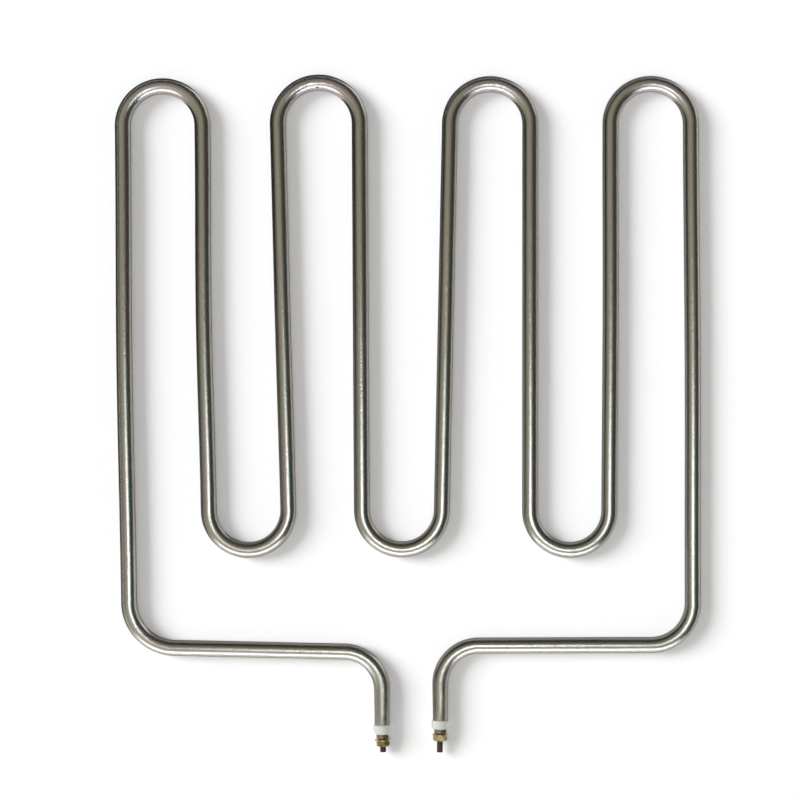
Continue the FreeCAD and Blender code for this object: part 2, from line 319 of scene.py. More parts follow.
def sweep_sheath():
    """Rings round the route: a point on the ring lies across and up from its row's centre.

    across = (half width - inset - taper) * cos(angle) to the right of the heading
    up = (half height - inset) * sin(angle), both measured from the centre line.
    """
    inside, inset = mouth_rows().T
    skin = route_length[(route_length > RIM) & (route_length < route_length[-1] - RIM)]
    along = np.concatenate([inside, skin, (route_length[-1] - inside)[::-1]])
    inset = np.concatenate([inset, np.zeros(len(skin)), inset[::-1]])
    x = np.interp(along, route_length, route[:, 0])
    y = np.interp(along, route_length, route[:, 1])
    heading = np.interp(along, route_length, np.unwrap(route_heading))[:, None]
    angle = -math.pi / 2 + np.arange(SHEATH_COLUMNS) * 2 * math.pi / SHEATH_COLUMNS
    half_width = np.maximum(SHEATH_WIDE / 2 - inset - neck_taper(along, inset), 0)
    across = half_width[:, None] * np.cos(angle)
    up = np.maximum(SHEATH_HIGH / 2 - inset, 0)[:, None] * np.sin(angle)
    up[[0, -1]] = 0
    outward = np.stack([across * np.sin(heading), -across * np.cos(heading), up], -1)
    points = np.stack([x, y, np.full(len(x), AXIS_HIGH)], -1)[:, None] + outward
    straight = np.stack([np.broadcast_to(along[:, None], across.shape), across, up], -1)
    return points, straight, outward


skin, straight, outward = sweep_sheath()
print("Rows and columns of the skin:", skin.shape[:2])

# %% Press the nicks and make the piece
NICKS = [
    # across, along, up, radius, depth, all in millimetres
    (-46.99, 168.95, 7.4, 0.55, 0.25),
    (44.09, 167.55, 6.6, 0.42, 0.2),
]
LEAST_OUTWARD = 0.1 * MM


def in_nicks(points):
    """How deep each point lies in a nick, and the depth in metres: the sum over the nicks of
    exp(-(distance / radius)^2), and the same times each nick's depth."""
    share, depth = 0, 0
    for *place, radius, deep in np.array(NICKS) * MM:
        dip = np.exp(-((points - place) ** 2).sum(-1) / radius**2)
        share, depth = share + dip, depth + dip * deep
    return share, depth


_, depth = in_nicks(skin)
length = np.maximum(np.linalg.norm(outward, axis=-1), LEAST_OUTWARD)
skin -= outward * (depth / length)[..., None]
skin = np.clip(skin, cad_box[0], cad_box[1])
sheath = make_piece("sheath_skin", skin, straight, ["sheath"])
print("Deepest nick:", round(float(depth.max() * 1000), 2), "mm")

# %% [markdown]
# ## The terminals
#
# Each terminal is a stack of turned pieces on one axis. They could be modelled upright and then
# turned into place, but here the place goes into the mesh. So each terminal has its own frame: its
# origin is in the tube's mouth and its axis points out along the pin. The leg of the tube leans a
# little, so the frame does too.

# %% Place a terminal
TERMINALS = {
    # mouth, collar and reach in millimetres; lean and turns in degrees; chip as a share of the deepest
    "left": {
        "mouth": (-13.4, -161.9),
        "lean": 2.4,
        "collar": 4.7,
        "reach": 14.1,
        "inner_turn": 30.0,
        "outer_turn": 19.0,
        "chip": 1.0,
    },
    "right": {
        "mouth": (16.9, -159.5),
        "lean": -0.9,
        "collar": 4.4,
        "reach": 16.6,
        "inner_turn": 28.0,
        "outer_turn": -1.0,
        "chip": 0.35,
    },
}


def terminal_points(side, out, across, up):
    """Points in the element's frame for points given in a terminal's: out along its pin, across
    to the right when looking from above with the pin pointing down the page, and up."""
    values = TERMINALS[side]
    lean = math.radians(values["lean"])
    x = values["mouth"][0] * MM + out * math.sin(lean) + across * math.cos(lean)
    y = values["mouth"][1] * MM - out * math.cos(lean) + across * math.sin(lean)
    return np.stack([x, y, AXIS_HIGH + up], -1)


print("Terminals:", list(TERMINALS))

# %% Turn a piece about a terminal's axis
ROUND_COLUMNS = 96
CORNER_STEPS = 5
MOST_OF_AN_EDGE = 0.45


def turned_piece(name, side, out, radius, node, columns=ROUND_COLUMNS, phase=0.0):
    """A piece turned about its terminal's axis: out and radius are given for each row, or for each
    row and column. across = radius * cos(angle) and up = radius * sin(angle)."""
    angle = phase + np.arange(columns) * 2 * math.pi / columns
    out = np.broadcast_to(np.asarray(out).reshape(len(out), -1), (len(out), columns))
    radius = np.broadcast_to(np.asarray(radius).reshape(len(radius), -1), (len(radius), columns))
    across, up = radius * np.cos(angle), radius * np.sin(angle)
    straight = np.stack([out, across, up], -1)
    return make_piece(name, terminal_points(side, out, across, up), straight, [node])


def close_profile(rows):
    """Repeat a profile's first row at its end, so that a hollow piece closes on itself."""
    return np.concatenate([rows, rows[:1]])


def rounded(corners, round_by, steps=CORNER_STEPS):
    """A closed profile with each corner rounded. Near a corner, the line bends along a quadratic
    curve from a point round_by before it to a point round_by after it."""
    corners = np.array(corners, float)
    before, after = np.roll(corners, 1, axis=0), np.roll(corners, -1, axis=0)
    t = np.linspace(0, 1, steps)[:, None]
    pieces = []
    for start, corner, end in zip(before, corners, after):
        back = min(MOST_OF_AN_EDGE, round_by / np.hypot(*(start - corner)))
        forward = min(MOST_OF_AN_EDGE, round_by / np.hypot(*(end - corner)))
        enter, leave = corner + (start - corner) * back, corner + (end - corner) * forward
        pieces.append((1 - t) ** 2 * enter + 2 * t * (1 - t) * corner + t**2 * leave)
    return np.concatenate(pieces)


print("Points of a rounded square:", len(rounded([(0, 0), (1, 0), (1, 1), (0, 1)], 0.1)))

# %% [markdown]
# ### The ceramic bush
#
# The bush keeps the pin off the sheath. It is pressed and fired, so it has soft edges, and the
# photograph shows them chipped on one side. Cutting chips with booleans would leave hard seams, so
# the collar's outer edge is cut back by an amount that grows towards that side. The rest of the
# bush, its stem in the tube, is plain.

# %% Make the bushes
COLLAR_RADIUS = 4.5 * MM
STEM_RADIUS = 3.45 * MM
STEM_LENGTH = 5.0 * MM
BUSH_HOLE = 1.85 * MM
BUSH_ROUND = 0.55 * MM
BUSH_STEPS = 6
FLANK_ROWS = 8
FLANK_FROM = 0.6 * MM
FLANK_TO_END = 0.7 * MM
CHIP_DEPTH = 0.9 * MM
CHIP_SIDE = math.radians(160)
CHIP_FROM = 0.35
CHIP_INNER = 3.0 * MM


def bush_profile(collar):
    """The bush's rounded profile, with more rows on the collar's flank, before its outer corner."""
    profile = rounded([
        (-STEM_LENGTH, BUSH_HOLE), (-STEM_LENGTH, STEM_RADIUS), (0.0, STEM_RADIUS),
        (0.0, COLLAR_RADIUS), (collar, COLLAR_RADIUS), (collar, BUSH_HOLE),
    ], BUSH_ROUND, steps=BUSH_STEPS)
    flank = np.linspace(FLANK_FROM, collar - FLANK_TO_END, FLANK_ROWS)
    rows = np.stack([flank, np.full(FLANK_ROWS, COLLAR_RADIUS)], -1)
    corners_before_flank = 4
    return close_profile(np.insert(profile, corners_before_flank * BUSH_STEPS, rows, axis=0))


def make_bush(side):
    """A turned profile whose collar is worn: its radius shrinks by chip * side share * end share
    * outer share.

    The side share is the squared cosine of the angle from the chipped side. The end share is the
    square of a rise from 0 at CHIP_FROM of the collar's length to 1 at its end. The outer share
    rises from 0 at the radius CHIP_INNER to 1 at the collar's skin.
    """
    values = TERMINALS[side]
    collar = values["collar"] * MM
    out, radius = bush_profile(collar).T
    angle = np.arange(ROUND_COLUMNS) * 2 * math.pi / ROUND_COLUMNS
    side_share = np.clip(np.cos(angle - CHIP_SIDE), 0, 1) ** 2
    end_share = np.clip((out / collar - CHIP_FROM) / (1 - CHIP_FROM), 0, 1) ** 2
    outer_share = np.clip((radius - CHIP_INNER) / (COLLAR_RADIUS - CHIP_INNER), 0, 1)
    chip = values["chip"] * CHIP_DEPTH * (end_share * outer_share)[:, None] * side_share
    worn = radius[:, None] - chip
    return turned_piece(f"{side}_bush", side, out, worn, f"{side}_ceramic_bush")


bushes = [make_bush(side) for side in TERMINALS]

# %% [markdown]
# ### The nuts
#
# A hexagon nut is a six-sided bar whose ends are turned down to a cone, which leaves the curved
# chamfer lines on its flats. It could be a six-sided cylinder cut by a cone with a boolean. The same
# rule makes the mesh with no boolean: at each angle and height the nut's radius is the smaller of
# the bar's and the cone's, and a soft minimum rounds the meeting edges.

# %% Make the nuts
NUT_FLATS = 6.3 * MM
NUT_CORNER = NUT_FLATS / math.sqrt(3)
INNER_NUT = 2.2 * MM
OUTER_NUT = 2.8 * MM
INNER_CHAMFER = 0.42 * MM
OUTER_CHAMFER = 0.55 * MM
CHAMFER_SLOPE = math.tan(math.radians(30))
COUNTERSINK = 0.18 * MM
EDGE_SOFT = 0.1 * MM
THREAD_RADIUS = 1.75 * MM
WASHER = 0.8 * MM
WASHER_GAP = 0.4 * MM
NUT_COLUMNS = 144
CONE_ROWS = 16
CONE_SHARE = 0.34
MIDDLE_ROWS = 4


def soft_minimum(a, b, soft):
    """The smaller of two radii, blended where they differ by less than about soft:
    (a + b - sqrt((a - b)^2 + soft^2)) / 2."""
    return (a + b - np.sqrt((a - b) ** 2 + soft**2)) / 2


def hexagon_radius(angle, flats):
    """Distance from the centre to the side of a hexagon with a corner at angle 0."""
    from_flat = (angle % (math.pi / 3)) - math.pi / 6
    return flats / 2 / np.cos(from_flat)


def nut_flank(thick, face):
    """Heights along the nut's outside, and its radius at each height and column.

    The cone at each end starts from the face's radius and widens inwards by one unit for each
    CHAMFER_SLOPE of depth. The radius is the soft minimum of the cone and the bar.
    """
    ends, middle = CONE_SHARE * thick, (1 - CONE_SHARE) * thick
    height = np.concatenate([
        np.linspace(0, ends, CONE_ROWS), np.linspace(ends, middle, MIDDLE_ROWS)[1:-1],
        np.linspace(middle, thick, CONE_ROWS)])
    bar = hexagon_radius(np.arange(NUT_COLUMNS) * 2 * math.pi / NUT_COLUMNS, NUT_FLATS)[None, :]
    cone = face + np.minimum(height, thick - height)[:, None] / CHAMFER_SLOPE
    return height, soft_minimum(bar, cone, EDGE_SOFT)


def make_nut(side, name, start, thick, turn, chamfer):
    """A hollow nut: its rows go up the outside, over each end face, and through the hole, which has
    a countersink at each end."""
    face = NUT_CORNER - chamfer
    height, flank = nut_flank(thick, face)
    mouth, between = THREAD_RADIUS + COUNTERSINK, (THREAD_RADIUS + face) / 2
    before = [
        (thick - COUNTERSINK, THREAD_RADIUS), (COUNTERSINK, THREAD_RADIUS), (0.0, mouth), (0.0, between)]
    after = [(thick, between), (thick, mouth), (thick - COUNTERSINK, THREAD_RADIUS)]
    out = start + np.array([z for z, _ in before] + [*height] + [z for z, _ in after])
    ones = np.ones(NUT_COLUMNS)
    radius = np.stack([r * ones for _, r in before] + [*flank] + [r * ones for _, r in after])
    return turned_piece(f"{side}_{name}_brass", side, out, radius, f"{side}_{name}",
                        columns=NUT_COLUMNS, phase=math.radians(turn))


inner_nuts, outer_nuts = [], []
for side, values in TERMINALS.items():
    inner_at = values["collar"] * MM
    outer_at = inner_at + INNER_NUT + WASHER_GAP + WASHER
    inner_nuts.append(make_nut(
        side, "inner_nut", inner_at, INNER_NUT, values["inner_turn"], INNER_CHAMFER))
    outer_nuts.append(make_nut(
        side, "outer_nut", outer_at, OUTER_NUT, values["outer_turn"], OUTER_CHAMFER))

# %% [markdown]
# ### The washers
#
# A washer is punched from sheet, which leaves one rounded edge and one sharp one, and handling wears
# both. A plain cylinder with a hole would show no line of light on its edge. A turned profile with
# small radii gives both faces a thin bright line, as in the photograph.

# %% Make the washers
WASHER_RADIUS = 4.0 * MM
WASHER_HOLE = 1.95 * MM
WASHER_ROUND = 0.2 * MM


def make_washer(side):
    """A ring turned from a rounded rectangle."""
    near = TERMINALS[side]["collar"] * MM + INNER_NUT + WASHER_GAP
    far = near + WASHER
    profile = rounded([
        (near, WASHER_HOLE), (near, WASHER_RADIUS), (far, WASHER_RADIUS), (far, WASHER_HOLE)
    ], WASHER_ROUND)
    out, radius = close_profile(profile).T
    return turned_piece(f"{side}_washer_brass", side, out, radius, f"{side}_washer")


washers = [make_washer(side) for side in TERMINALS]

# %% [markdown]
# ### The pins
#
# The pin is a plain rod with a thread rolled on it where the nuts sit. The Screw modifier could wind
# a profile round a helix. But a thread is also a radius that rises and falls along the pin, shifted
# by one pitch for each turn, so the radius at each point of the grid is worked out directly, and
# the rod stays one closed skin.

# %% Make the pins
PIN_RADIUS = 1.55 * MM
PIN_COLUMNS = 48
PIN_END = -16.0 * MM
PIN_TIP = 0.2 * MM
TIP_ROWS = np.array([
    # how far before the end each row of the rounded tip is, and how far in, as shares of PIN_TIP
    (0.7, 0.1),
    (0.4, 0.35),
    (0.1, 0.7),
    (0.0, 1.1),
])
FREE_ROWS = 12
PITCH = 0.6 * MM
ROWS_A_PITCH = 8
THREAD_DEPTH = 0.36 * MM
THREAD_START = -2.0 * MM
THREAD_STEP = 0.1 * MM
THREAD_PROUD = 0.2 * MM


def make_pin(side):
    """A rod whose radius is PIN_RADIUS outside the thread. Inside it, the radius is
    THREAD_RADIUS - THREAD_DEPTH * w, where w is a triangle wave of (out / PITCH - angle / turn)."""
    values = TERMINALS[side]
    reach = values["reach"] * MM
    stack = values["collar"] * MM + INNER_NUT + WASHER_GAP + WASHER + OUTER_NUT
    thread_end = stack + THREAD_PROUD
    hidden = [PIN_END, PIN_END, THREAD_START - THREAD_STEP]
    threaded = [*np.arange(THREAD_START, thread_end, PITCH / ROWS_A_PITCH), thread_end]
    free = [thread_end, *np.linspace(thread_end, reach - PIN_TIP, FREE_ROWS)[1:]]
    tip = [*(reach - PIN_TIP * TIP_ROWS[:, 0]), reach]
    out = np.array(hidden + threaded + free + tip)
    plain = np.full(len(out), PIN_RADIUS)
    plain[0] = 0
    plain[-len(tip):] = [*(PIN_RADIUS - PIN_TIP * TIP_ROWS[:, 1]), 0]
    in_thread = np.zeros((len(out), 1), bool)
    in_thread[len(hidden):len(hidden) + len(threaded)] = True
    turn = np.arange(PIN_COLUMNS) / PIN_COLUMNS
    wave = np.abs(((out[:, None] / PITCH - turn) % 1) * 2 - 1)
    radius = np.where(in_thread, THREAD_RADIUS - THREAD_DEPTH * wave, plain[:, None])
    return turned_piece(f"{side}_pin", side, out, radius, f"{side}_terminal_pin",
                        columns=PIN_COLUMNS)


pins = [make_pin(side) for side in TERMINALS]

# %% [markdown]
# ## Materials
#
# Each finish is a small group of nodes on one shader. Patterns could use the object's own
# coordinates, but a grain has to follow the metal round its bends. So most patterns read the
# "straight" attribute, which says where a point would be if the piece were straight. Two helpers
# make the nodes, to keep each finish to the lines that matter.

# %% A helper for nodes
def linear(*srgb):
    """The linear colour of an sRGB one given from 0 to 255."""
    share = np.array(srgb) / 255
    low, high = share / 12.92, ((share + 0.055) / 1.055) ** 2.4
    return (*np.where(share <= 0.04045, low, high).tolist(), 1.0)


class NodeSheet:
    """A sheet of shader nodes, and short ways to add to it."""

    def __init__(self, tree):
        self.tree = tree
        self.nodes = tree.nodes

    def link(self, source, target):
        """Join an output socket to an input socket."""
        self.tree.links.new(source, target)

    def fill(self, socket, value):
        """Link a socket to an input, or set the input to a value."""
        if isinstance(value, bpy.types.NodeSocket):
            self.link(value, socket)
        else:
            socket.default_value = value

    def node(self, kind, inputs=None, **settings):
        """Add a node, set its properties, and fill its inputs."""
        made = self.nodes.new(kind)
        for key, value in settings.items():
            setattr(made, key, value)
        for key, value in (inputs or {}).items():
            self.fill(made.inputs[key], value)
        return made

    def sum(self, operation, first, second=0.0):
        """One step of arithmetic on values."""
        return self.node("ShaderNodeMath", {0: first, 1: second}, operation=operation).outputs[0]

    def rise(self, value, low, high, to=(0.0, 1.0)):
        """Rise smoothly from one value to another while the input goes from low to high."""
        return self.node("ShaderNodeMapRange", {
            "Value": value, "From Min": low, "From Max": high, "To Min": to[0], "To Max": to[1],
        }, interpolation_type="SMOOTHSTEP").outputs[0]

    def mix(self, share, first, second, blend="MIX"):
        """Mix two colours by a share. A colour's inputs are the mix node's seventh and eighth."""
        made = self.node("ShaderNodeMix", data_type="RGBA", blend_type=blend)
        for socket, value in zip((made.inputs[0], made.inputs[6], made.inputs[7]), (share, first, second)):
            self.fill(socket, value)
        return made.outputs[2]


print("White paper's grey of 250 is", round(linear(250, 250, 250)[0], 3), "in linear light")

# %% A helper for finishes
class Finish(NodeSheet):
    """One material: its shader, and the patterns that feed it."""

    def __init__(self, name, **settings):
        self.material = bpy.data.materials.new(name)
        self.material.use_nodes = True
        super().__init__(self.material.node_tree)
        self.shader = self.nodes["Principled BSDF"]
        for socket, value in settings.items():
            self.shader.inputs[socket.replace("_", " ")].default_value = value

    def place(self, stretch=(1, 1, 1)):
        """Where a point would be on the straight piece, in millimetres, stretched along each axis."""
        spot = self.node("ShaderNodeAttribute", attribute_name="straight")
        return self.node("ShaderNodeMapping", {
            "Vector": spot.outputs["Vector"], "Scale": [v / MM for v in stretch]}).outputs["Vector"]

    def straight(self, axis):
        """How far a point is along one axis of the straight piece, in millimetres: X along it, Y
        across it and Z up."""
        return self.node("ShaderNodeSeparateXYZ", {"Vector": self.place()}).outputs[axis]

    def in_frame(self):
        """Where a point is in the element's frame, in metres."""
        return self.node("ShaderNodeTexCoord").outputs["Object"]

    def attribute(self, name):
        """A number that the mesh holds on each point."""
        return self.node("ShaderNodeAttribute", attribute_name=name).outputs["Fac"]

    def noise(self, stretch=(1, 1, 1), scale=1.0, detail=3.0, roughness=0.5):
        """Noise in the piece's straight frame, as a value from 0 to 1."""
        return self.node("ShaderNodeTexNoise", {
            "Vector": self.place(stretch), "Scale": scale, "Detail": detail, "Roughness": roughness,
        }).outputs["Fac"]

    def ramp(self, value, *stops):
        """Map a value to colours: each stop is a position and a linear colour or a grey level."""
        made = self.node("ShaderNodeValToRGB", {"Fac": value})
        elements = made.color_ramp.elements
        while len(elements) < len(stops):
            elements.new(0.5)
        for element, (position, colour) in zip(elements, stops):
            element.position = position
            element.color = colour if isinstance(colour, tuple) else (colour, colour, colour, 1)
        return made.outputs["Color"]

    def colour(self, socket):
        """Feed the base colour."""
        self.link(socket, self.shader.inputs["Base Color"])

    def roughness(self, socket):
        """Feed the roughness."""
        self.link(socket, self.shader.inputs["Roughness"])

    def bump(self, height, depth, strength=1.0):
        """Add relief: a height from 0 to 1 over depth in metres. Calls stack up."""
        made = self.node("ShaderNodeBump", {"Height": height, "Distance": depth, "Strength": strength})
        before = self.shader.inputs["Normal"].links
        if before:
            self.link(before[0].from_socket, made.inputs["Normal"])
        self.link(made.outputs["Normal"], self.shader.inputs["Normal"])

    def on(self, *pieces):
        """Put the material on pieces, in place of any they have."""
        for piece in pieces:
            piece.data.materials.clear()
            piece.data.materials.append(self.material)
        print(f"{self.material.name}: on {', '.join(piece.name for piece in pieces)}")


print("Finish helper ready")

# %% [markdown]
# ### Satin steel
#
# The sheath is stainless tube, drawn through a die and rolled down on its powder. It is nearly a
# mirror, with a fine grain that roughens the edge of each highlight.
#
# Its tone isn't even. The flanks that face the far left are painted dark as shade, darkest at the
# far left corner. The flanks that face the near right are painted a little darker than the top, as
# shade too. The far bends have a faint lilac tint, and the necks are speckled. A painted mask could
# hold all this. Here the mesh's own normals say which way each point faces, so the painted shade
# follows the tube round every bend.

# %% Mark how the sheath faces
PAINTED_DIM_BEND_SHARE = 0.9

points = len(sheath.data.vertices)
facing = np.empty((points, 3), np.float32)
sheath.data.vertices.foreach_get("normal", facing.ravel())
spots = np.empty((points, 3), np.float32)
sheath.data.vertices.foreach_get("co", spots.ravel())
marks = {
    # The flanks that face the far left, which are painted dark as shade.
    "painted_shade_side": np.hypot(np.maximum(-facing[:, 0], 0), np.maximum(facing[:, 1], 0)),
    # The flanks that face the near right, which are painted a little darker as shade.
    "painted_dim_side": np.hypot(np.maximum(facing[:, 0], 0), PAINTED_DIM_BEND_SHARE * np.maximum(-facing[:, 1], 0)),
    # How deep a point lies in a nick, where shade is painted dark.
    "nick_shade_share": in_nicks(spots)[0],
}
for name, share in marks.items():
    sheath.data.attributes.new(name, "FLOAT", "POINT").data.foreach_set("value", share)
print("Marks on each of", points, "points:", list(marks))

# %% Colour the sheath
STEEL_TONES = {
    "warm": (0.58, 0.555, 0.465, 1),
    "pale": (0.61, 0.59, 0.515, 1),
    # Painted shade for the flanks that face the near right.
    "painted_dim_tone": (0.45, 0.43, 0.385, 1),
    "haze": (0.70, 0.59, 0.68, 1),
    # Painted shade for the flanks that face the far left, from the darkest to the lightest.
    "deep_painted_shade": (0.06, 0.06, 0.052, 1),
    "pale_painted_shade": (0.25, 0.24, 0.21, 1),
    "neck_painted_shade": (0.34, 0.32, 0.28, 1),
    # Painted shade in the nicks.
    "nick_shade": (0.03, 0.035, 0.025, 1),
}
PAINTED_DIM_SHARE = (0.66, 0.84)
PAINTED_SHADE_SHARE = (0.6, 0.7)
NICK_SHADE_SHARE = (0.15, 0.6)
PAINTED_SHADE_FADES = (-230 * MM, 110 * MM)
HAZE_ALONG = (158 * MM, 170 * MM)
HAZE_MOST = 0.3
NECK_ALONG = (-145 * MM, -120 * MM)

steel = Finish("satin_steel", Metallic=1.0, Anisotropic=0.3, Specular_Tint=(0.25, 0.25, 0.25, 1))
spot = steel.node("ShaderNodeSeparateXYZ", {"Vector": steel.in_frame()})
neck = steel.rise(spot.outputs["Y"], *NECK_ALONG, to=(1.0, 0.0))


def bare_tone():
    """The tone of bare steel: it drifts along the tube, is painted darker as shade on the flanks that
    face the near right, and is lilac on the far bends."""
    drift = steel.noise((0.02, 0.12, 0.12), detail=2.0)
    tone = steel.ramp(drift, (0.3, STEEL_TONES["warm"]), (0.7, STEEL_TONES["pale"]))
    # Painted shade darkens the flanks that face the near right.
    tone = steel.mix(steel.rise(steel.attribute("painted_dim_side"), *PAINTED_DIM_SHARE), tone, STEEL_TONES["painted_dim_tone"])
    haze = steel.rise(spot.outputs["Y"], *HAZE_ALONG, to=(0.0, HAZE_MOST))
    return steel.mix(haze, tone, STEEL_TONES["haze"])


def painted_shade_tone():
    """The painted shade on the flanks that face the far left: darkest at the far left, it fades towards
    the near right, by X - Y, and most of all on the necks."""
    shade_fades = steel.rise(steel.sum("SUBTRACT", spot.outputs["X"], spot.outputs["Y"]), *PAINTED_SHADE_FADES)
    tone = steel.mix(shade_fades, STEEL_TONES["deep_painted_shade"], STEEL_TONES["pale_painted_shade"])
    return steel.mix(neck, tone, STEEL_TONES["neck_painted_shade"])


# Painted shade darkens the flanks that face the far left.
tone = steel.mix(steel.rise(steel.attribute("painted_shade_side"), *PAINTED_SHADE_SHARE), bare_tone(), painted_shade_tone())
# The nicks are painted dark as shade.
nick_shade = steel.rise(steel.attribute("nick_shade_share"), *NICK_SHADE_SHARE)
steel.colour(steel.mix(nick_shade, tone, STEEL_TONES["nick_shade"]))
steel.on(sheath)

# %% Give the sheath its grain
LINE_ROUGHNESS = (0.17, 0.23)
NECK_ROUGHNESS = 0.03
LINE_DEPTH = 0.004 * MM
GRAIN_DEPTH = 0.1 * MM
SPECKLE_DEPTH = 0.13 * MM

lines = steel.noise((0.15, 3.0, 3.0), detail=2.0)
grain = steel.noise((1.3, 1.5, 1.5), detail=3.0, roughness=0.6)
speckle = steel.noise((1.3, 1.5, 1.5), scale=1.5, detail=2.0, roughness=0.6)
rough = steel.rise(lines, 0.3, 0.7, to=LINE_ROUGHNESS)
steel.roughness(steel.sum("ADD", rough, steel.sum("MULTIPLY", neck, NECK_ROUGHNESS)))
steel.bump(lines, LINE_DEPTH)
steel.bump(grain, GRAIN_DEPTH)
steel.bump(speckle, SPECKLE_DEPTH, strength=neck)
way_round = steel.node("ShaderNodeTangent", direction_type="UV_MAP", uv_map="round").outputs[0]
steel.link(way_round, steel.shader.inputs["Tangent"])
print("Nodes in the steel:", len(steel.nodes))

# %% [markdown]
# ### Unglazed ceramic
#
# The bush is fired and left unglazed, so it is matt and nearly white with a fine speckle. The chipped
# left side of each collar is painted grey as shade. The painted shade follows how far across the
# collar a point is, which puts it beside the chips without a mask.

# %% Finish the bushes
COLLAR_SHADE_ACROSS = (-4.4, -3.9)
COLLAR_SHADE_MOST = 0.8
CERAMIC_RELIEF = 0.05 * MM

ceramic = Finish("unglazed_ceramic", Roughness=0.75)
specks = ceramic.noise((1, 1, 1), scale=2.0, detail=4.0, roughness=0.7)
pale = ceramic.ramp(specks, (0.3, linear(190, 191, 184)), (0.7, linear(205, 206, 200)))
# A grey is painted as shade on the left, chipped edge of each collar.
collar_shade = ceramic.rise(ceramic.straight("Y"), *COLLAR_SHADE_ACROSS, to=(COLLAR_SHADE_MOST, 0.0))
ceramic.colour(ceramic.mix(collar_shade, pale, linear(128, 120, 106)))
ceramic.bump(specks, CERAMIC_RELIEF)
ceramic.on(*bushes)

# %% [markdown]
# ### Three kinds of brass
#
# All the brass was bright once. The outer nuts have aged to a dull gold with brown patches, the
# washers' edges are rubbed bright by handling, and the inner nuts, next to the heat, are tarnished
# pinkish. The three differ only in their numbers, so one function makes them all: a slow noise is
# the patina, and it sets both the tone and the roughness, because dark patches are dull too.

# %% Finish the brass
PATINA_STRETCH = (0.5, 0.5, 0.5)
PITS_STRETCH = (3, 3, 3)
PITS_DEPTH = 0.012 * MM


def finish_brass(name, pieces, tones, dull, bright, pitted):
    """Brass with a patina. tones are stops of the patina's noise with sRGB colours, and dull and
    bright are its roughness at the dark and the light end."""
    brass = Finish(name, Metallic=0.95)
    patina = brass.noise(PATINA_STRETCH, detail=4.0, roughness=0.6)
    brass.colour(brass.ramp(patina, *[(at, linear(*srgb)) for at, srgb in tones]))
    brass.roughness(brass.ramp(patina, (0.3, dull), (0.7, bright)))
    if pitted:
        brass.bump(brass.noise(PITS_STRETCH, detail=3.0), PITS_DEPTH)
    brass.on(*pieces)


finish_brass("aged_brass", outer_nuts, [
    (0.3, (112, 88, 56)), (0.48, (166, 149, 102)), (0.72, (190, 176, 130))], 0.4, 0.28, pitted=True)
finish_brass("rubbed_brass", washers, [
    (0.35, (128, 108, 70)), (0.6, (214, 202, 158))], 0.34, 0.26, pitted=False)
finish_brass("tarnished_brass", inner_nuts, [
    (0.3, (184, 157, 130)), (0.7, (226, 205, 166))], 0.3, 0.2, pitted=True)

# %% [markdown]
# ### Oxidised steel and silicone
#
# The pins have been hot and are dark brown, with streaks along them from the drawing die. The noise
# is stretched along the pin, and the same noise gives the relief. The seals are the CAD model's own
# meshes. They have no straight frame, and no grain to follow, so theirs reads Object coordinates.

# %% Finish the pins and the seals
STREAK_STRETCH = (0.12, 1.4, 1.4)
STREAK_DEPTH = 0.03 * MM
CLOUDS_A_METRE = 900.0

oxide = Finish("oxidised_steel", Metallic=0.5)
streaks = oxide.noise(STREAK_STRETCH, detail=3.0, roughness=0.6)
oxide.colour(oxide.ramp(
    streaks, (0.3, linear(44, 36, 32)), (0.55, linear(72, 58, 50)), (0.75, linear(108, 72, 62))))
oxide.roughness(oxide.ramp(streaks, (0.3, 0.55), (0.7, 0.4)))
oxide.bump(streaks, STREAK_DEPTH)
oxide.on(*pins)

silicone = Finish("silicone_seal", Roughness=0.6)
clouds = silicone.node("ShaderNodeTexNoise", {"Vector": silicone.in_frame(), "Scale": CLOUDS_A_METRE})
silicone.colour(silicone.ramp(
    clouds.outputs["Fac"], (0.3, linear(150, 58, 44)), (0.7, linear(176, 74, 56))))
silicone.on(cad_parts["left_end_seal"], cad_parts["right_end_seal"])

# %% [markdown]
# ## The floor
#
# The element lies on white paper. A sheet far wider than the view keeps its edge out of every
# picture. Paper has no gloss to speak of, so its specular level is nought.

# %% Lay the floor
FLOOR_HALF = 20.0

floor_mesh = bpy.data.meshes.new("floor")
floor_mesh.from_pydata(
    [(-FLOOR_HALF, -FLOOR_HALF, 0), (FLOOR_HALF, -FLOOR_HALF, 0), (FLOOR_HALF, FLOOR_HALF, 0),
     (-FLOOR_HALF, FLOOR_HALF, 0)], [], [(0, 1, 2, 3)])
floor = bpy.data.objects.new("floor", floor_mesh)
bpy.context.scene.collection.objects.link(floor)
paper = Finish("white_paper", Roughness=1.0, Base_Color=(0.97, 0.97, 0.98, 1), Specular_IOR_Level=0.0)
paper.on(floor)

# %% [markdown]
# ## The lamps
#
# The shadow falls to the right and is soft, as from one broad lamp low on the left. An area lamp
# beside the element would light its left half more than its right. A sun with a wide angle gives the
# same soft shadow and even light. Two more suns, from the right and from overhead, lift the dark
# side. They cast no shadow, because the photograph shows only one. No sun shows in the steel, where
# it would be a disc: the lights that the steel mirrors come next.

# %% Hang the lamps
LAMPS = {
    # name: degrees from overhead towards +X, turn about +Z, width in degrees, power, shadow or not
    "key_lamp": (-58, -18, 32, 3.25, True),
    "fill_lamp": (75, 0, 30, 1.5, False),
    "top_lamp": (0, 0, 30, 0.5, False),
}
DAYLIGHT = (0.965, 0.98, 1.0)

